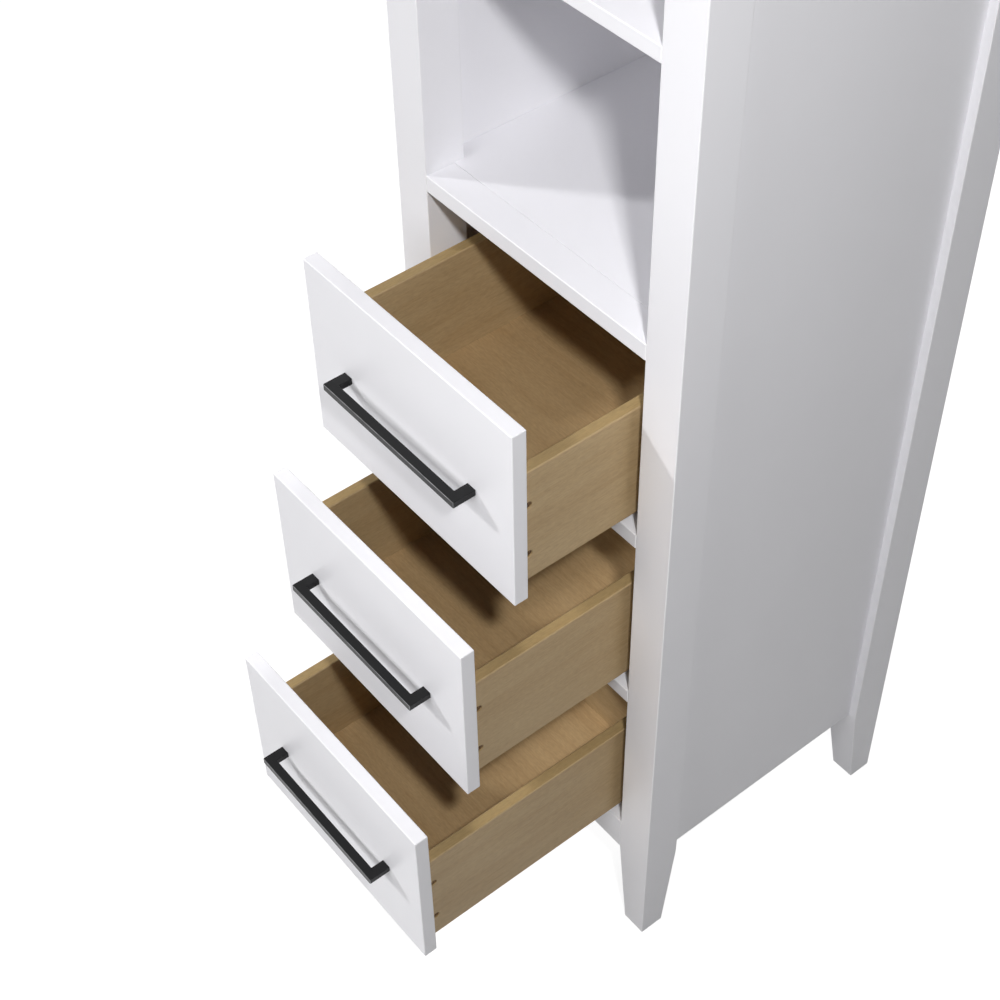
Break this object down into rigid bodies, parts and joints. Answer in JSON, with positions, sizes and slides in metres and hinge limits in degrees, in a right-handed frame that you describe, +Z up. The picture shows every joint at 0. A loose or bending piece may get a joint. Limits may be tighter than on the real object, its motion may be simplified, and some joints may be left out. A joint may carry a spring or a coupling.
{
  "type": "bathroom storage tower",
  "caption": "Tall white post-and-panel storage tower with tapered feet, inset drawers on full-extension slides with black bar handles, and open bays above.",
  "frame": {"origin": "on the floor, under the middle of the tower's outline with its drawers standing open as at rest and their handles included", "axes": "+X to the right when facing the front, +Y to the back, +Z up"},
  "size_m": [0.48, 0.8196, 1.8],
  "materials": {
    "white_paint": "satin white lacquer over wood",
    "maple": "clear satin over light maple",
    "plywood": "clear satin over wood veneer",
    "cleat_wood": "bare planed softwood",
    "black_metal": "matte black powder coat",
    "zinc_steel": "zinc-plated steel"
  },
  "bodies": {
    "cabinet": {"front_left_post": "white_paint", "front_right_post": "white_paint", "rear_left_post": "white_paint", "rear_right_post": "white_paint", "left_side_panel": "white_paint", "right_side_panel": "white_paint", "back_panel": "white_paint", "top_board": "white_paint", "top_front_rail": "white_paint", "top_rear_rail": "white_paint", "upper_shelf": "white_paint", "deck_panel": "white_paint", "deck_front_rail": "white_paint", "upper_drawer_rail": "white_paint", "lower_drawer_rail": "white_paint", "bottom_front_rail": "white_paint", "bottom_rear_rail": "white_paint", "bottom_panel": "white_paint", "top_slide_cleats": "cleat_wood", "middle_slide_cleats": "cleat_wood", "bottom_slide_cleats": "cleat_wood", "cleat_screws": "zinc_steel", "slide_screws": "zinc_steel", "top_cabinet_members": "zinc_steel", "middle_cabinet_members": "zinc_steel", "bottom_cabinet_members": "zinc_steel"},
    "top_slides": {"top_middle_members": "zinc_steel"},
    "top_drawer": {"top_drawer_front": "white_paint", "top_drawer_inner_front": "maple", "top_drawer_left_side": "maple", "top_drawer_right_side": "maple", "top_drawer_back": "maple", "top_drawer_bottom": "plywood", "top_drawer_screws": "zinc_steel", "top_handle": "black_metal", "top_handle_screws": "zinc_steel", "top_drawer_members": "zinc_steel"},
    "middle_slides": {"middle_middle_members": "zinc_steel"},
    "middle_drawer": {"middle_drawer_front": "white_paint", "middle_drawer_inner_front": "maple", "middle_drawer_left_side": "maple", "middle_drawer_right_side": "maple", "middle_drawer_back": "maple", "middle_drawer_bottom": "plywood", "middle_drawer_screws": "zinc_steel", "middle_handle": "black_metal", "middle_handle_screws": "zinc_steel", "middle_drawer_members": "zinc_steel"},
    "bottom_slides": {"bottom_middle_members": "zinc_steel"},
    "bottom_drawer": {"bottom_drawer_front": "white_paint", "bottom_drawer_inner_front": "maple", "bottom_drawer_left_side": "maple", "bottom_drawer_right_side": "maple", "bottom_drawer_back": "maple", "bottom_drawer_bottom": "plywood", "bottom_drawer_screws": "zinc_steel", "bottom_handle": "black_metal", "bottom_handle_screws": "zinc_steel", "bottom_drawer_members": "zinc_steel"}
  },
  "joints": [
    {"name": "top_drawer_travel", "type": "slide", "parent": "cabinet", "child": "top_drawer", "axis": [0, -1, 0], "range_m": [-0.173, 0.187]},
    {"name": "top_slides_travel", "type": "slide", "parent": "cabinet", "child": "top_slides", "axis": [0, -1, 0], "range_m": [-0.0865, 0.0935]},
    {"name": "middle_drawer_travel", "type": "slide", "parent": "cabinet", "child": "middle_drawer", "axis": [0, -1, 0], "range_m": [-0.249, 0.111]},
    {"name": "middle_slides_travel", "type": "slide", "parent": "cabinet", "child": "middle_slides", "axis": [0, -1, 0], "range_m": [-0.1245, 0.0555]},
    {"name": "bottom_drawer_travel", "type": "slide", "parent": "cabinet", "child": "bottom_drawer", "axis": [0, -1, 0], "range_m": [-0.329, 0.031]},
    {"name": "bottom_slides_travel", "type": "slide", "parent": "cabinet", "child": "bottom_slides", "axis": [0, -1, 0], "range_m": [-0.1645, 0.0155]}
  ],
  "couplings": [
    {"joint": "top_slides_travel", "follows": "top_drawer_travel", "ratio": 0.5},
    {"joint": "middle_slides_travel", "follows": "middle_drawer_travel", "ratio": 0.5},
    {"joint": "bottom_slides_travel", "follows": "bottom_drawer_travel", "ratio": 0.5}
  ]
}
